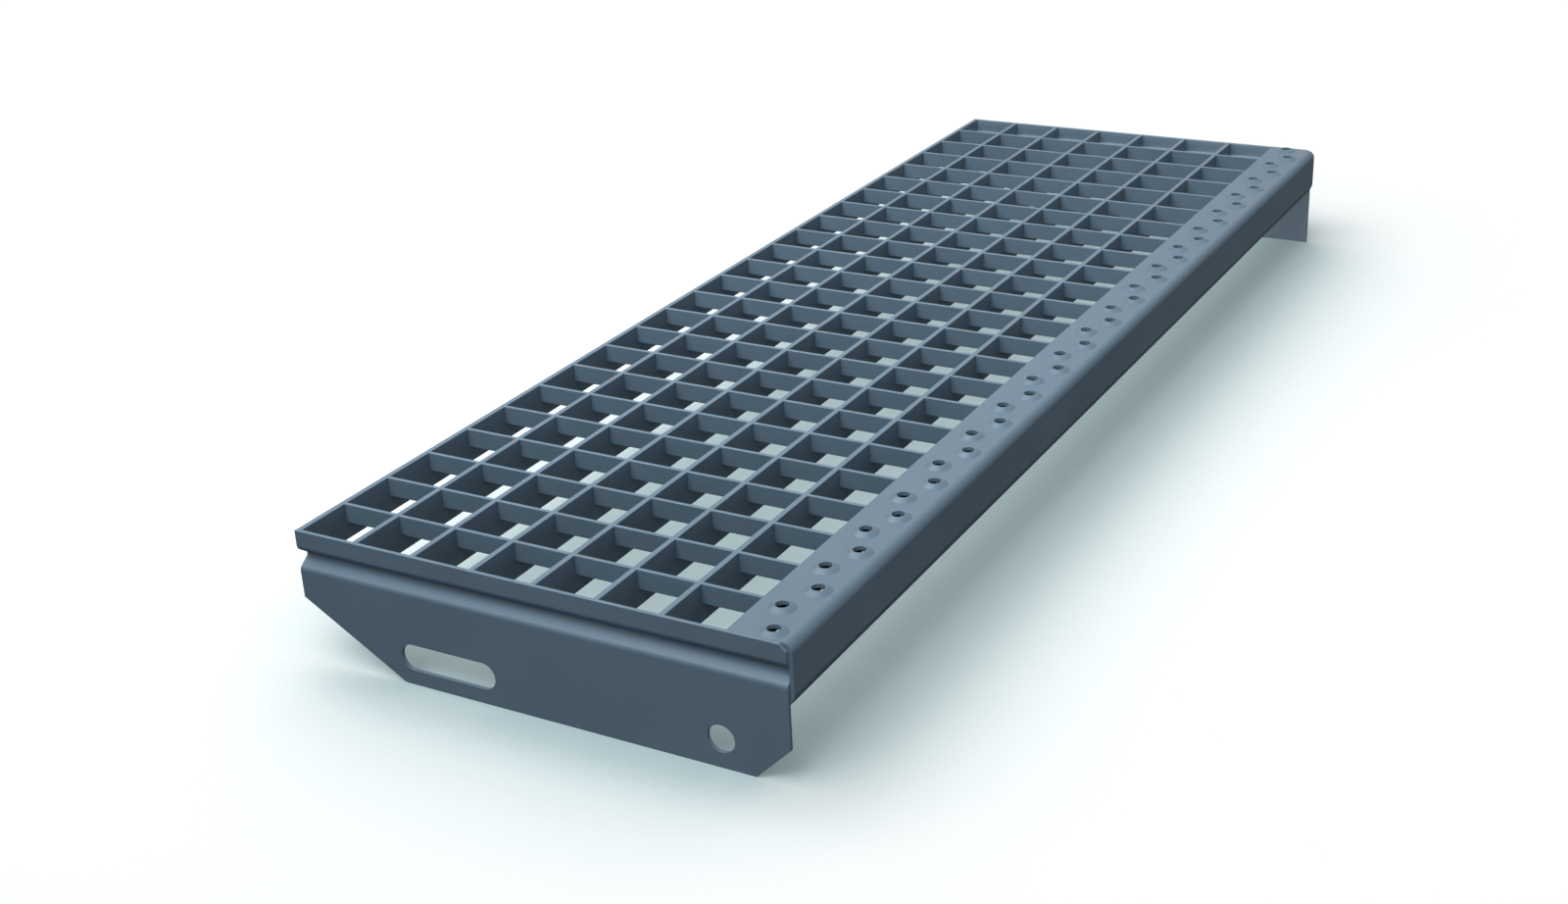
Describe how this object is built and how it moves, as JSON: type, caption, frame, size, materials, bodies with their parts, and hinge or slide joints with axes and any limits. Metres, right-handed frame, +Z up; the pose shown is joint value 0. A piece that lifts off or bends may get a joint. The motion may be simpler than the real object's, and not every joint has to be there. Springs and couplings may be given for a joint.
{
  "type": "grating stair tread",
  "caption": "Long steel grating step with a folded, punched anti-slip nosing along the front and a profiled bolt-on plate at each end.",
  "frame": {"origin": "middle of the footprint, at the height of the end plates' lower edges", "axes": "X runs along the tread, -Y is the front edge with the nosing, +Z is up"},
  "size_m": [0.8, 0.272, 0.0717],
  "materials": {
    "end_plate": "satin",
    "nosing": "satin",
    "bearing_bar": "satin",
    "cross_bar": "satin",
    "weld": "satin"
  },
  "bodies": {
    "root": {"left_end_plate": "end_plate", "right_end_plate": "end_plate", "nosing": "nosing", "front_bearing_bar": "bearing_bar", "bearing_bar_1": "bearing_bar", "bearing_bar_2": "bearing_bar", "bearing_bar_3": "bearing_bar", "bearing_bar_4": "bearing_bar", "bearing_bar_5": "bearing_bar", "bearing_bar_6": "bearing_bar", "rear_bearing_bar": "bearing_bar", "cross_bar_01": "cross_bar", "cross_bar_02": "cross_bar", "cross_bar_03": "cross_bar", "cross_bar_04": "cross_bar", "cross_bar_05": "cross_bar", "cross_bar_06": "cross_bar", "cross_bar_07": "cross_bar", "cross_bar_08": "cross_bar", "cross_bar_09": "cross_bar", "cross_bar_10": "cross_bar", "cross_bar_11": "cross_bar", "cross_bar_12": "cross_bar", "cross_bar_13": "cross_bar", "cross_bar_14": "cross_bar", "cross_bar_15": "cross_bar", "cross_bar_16": "cross_bar", "cross_bar_17": "cross_bar", "cross_bar_18": "cross_bar", "cross_bar_19": "cross_bar", "cross_bar_20": "cross_bar", "cross_bar_21": "cross_bar", "cross_bar_22": "cross_bar", "cross_bar_23": "cross_bar", "left_bar_welds": "weld", "right_bar_welds": "weld", "left_nosing_welds": "weld", "right_nosing_welds": "weld", "nosing_bar_welds": "weld"}
  },
  "joints": []
}
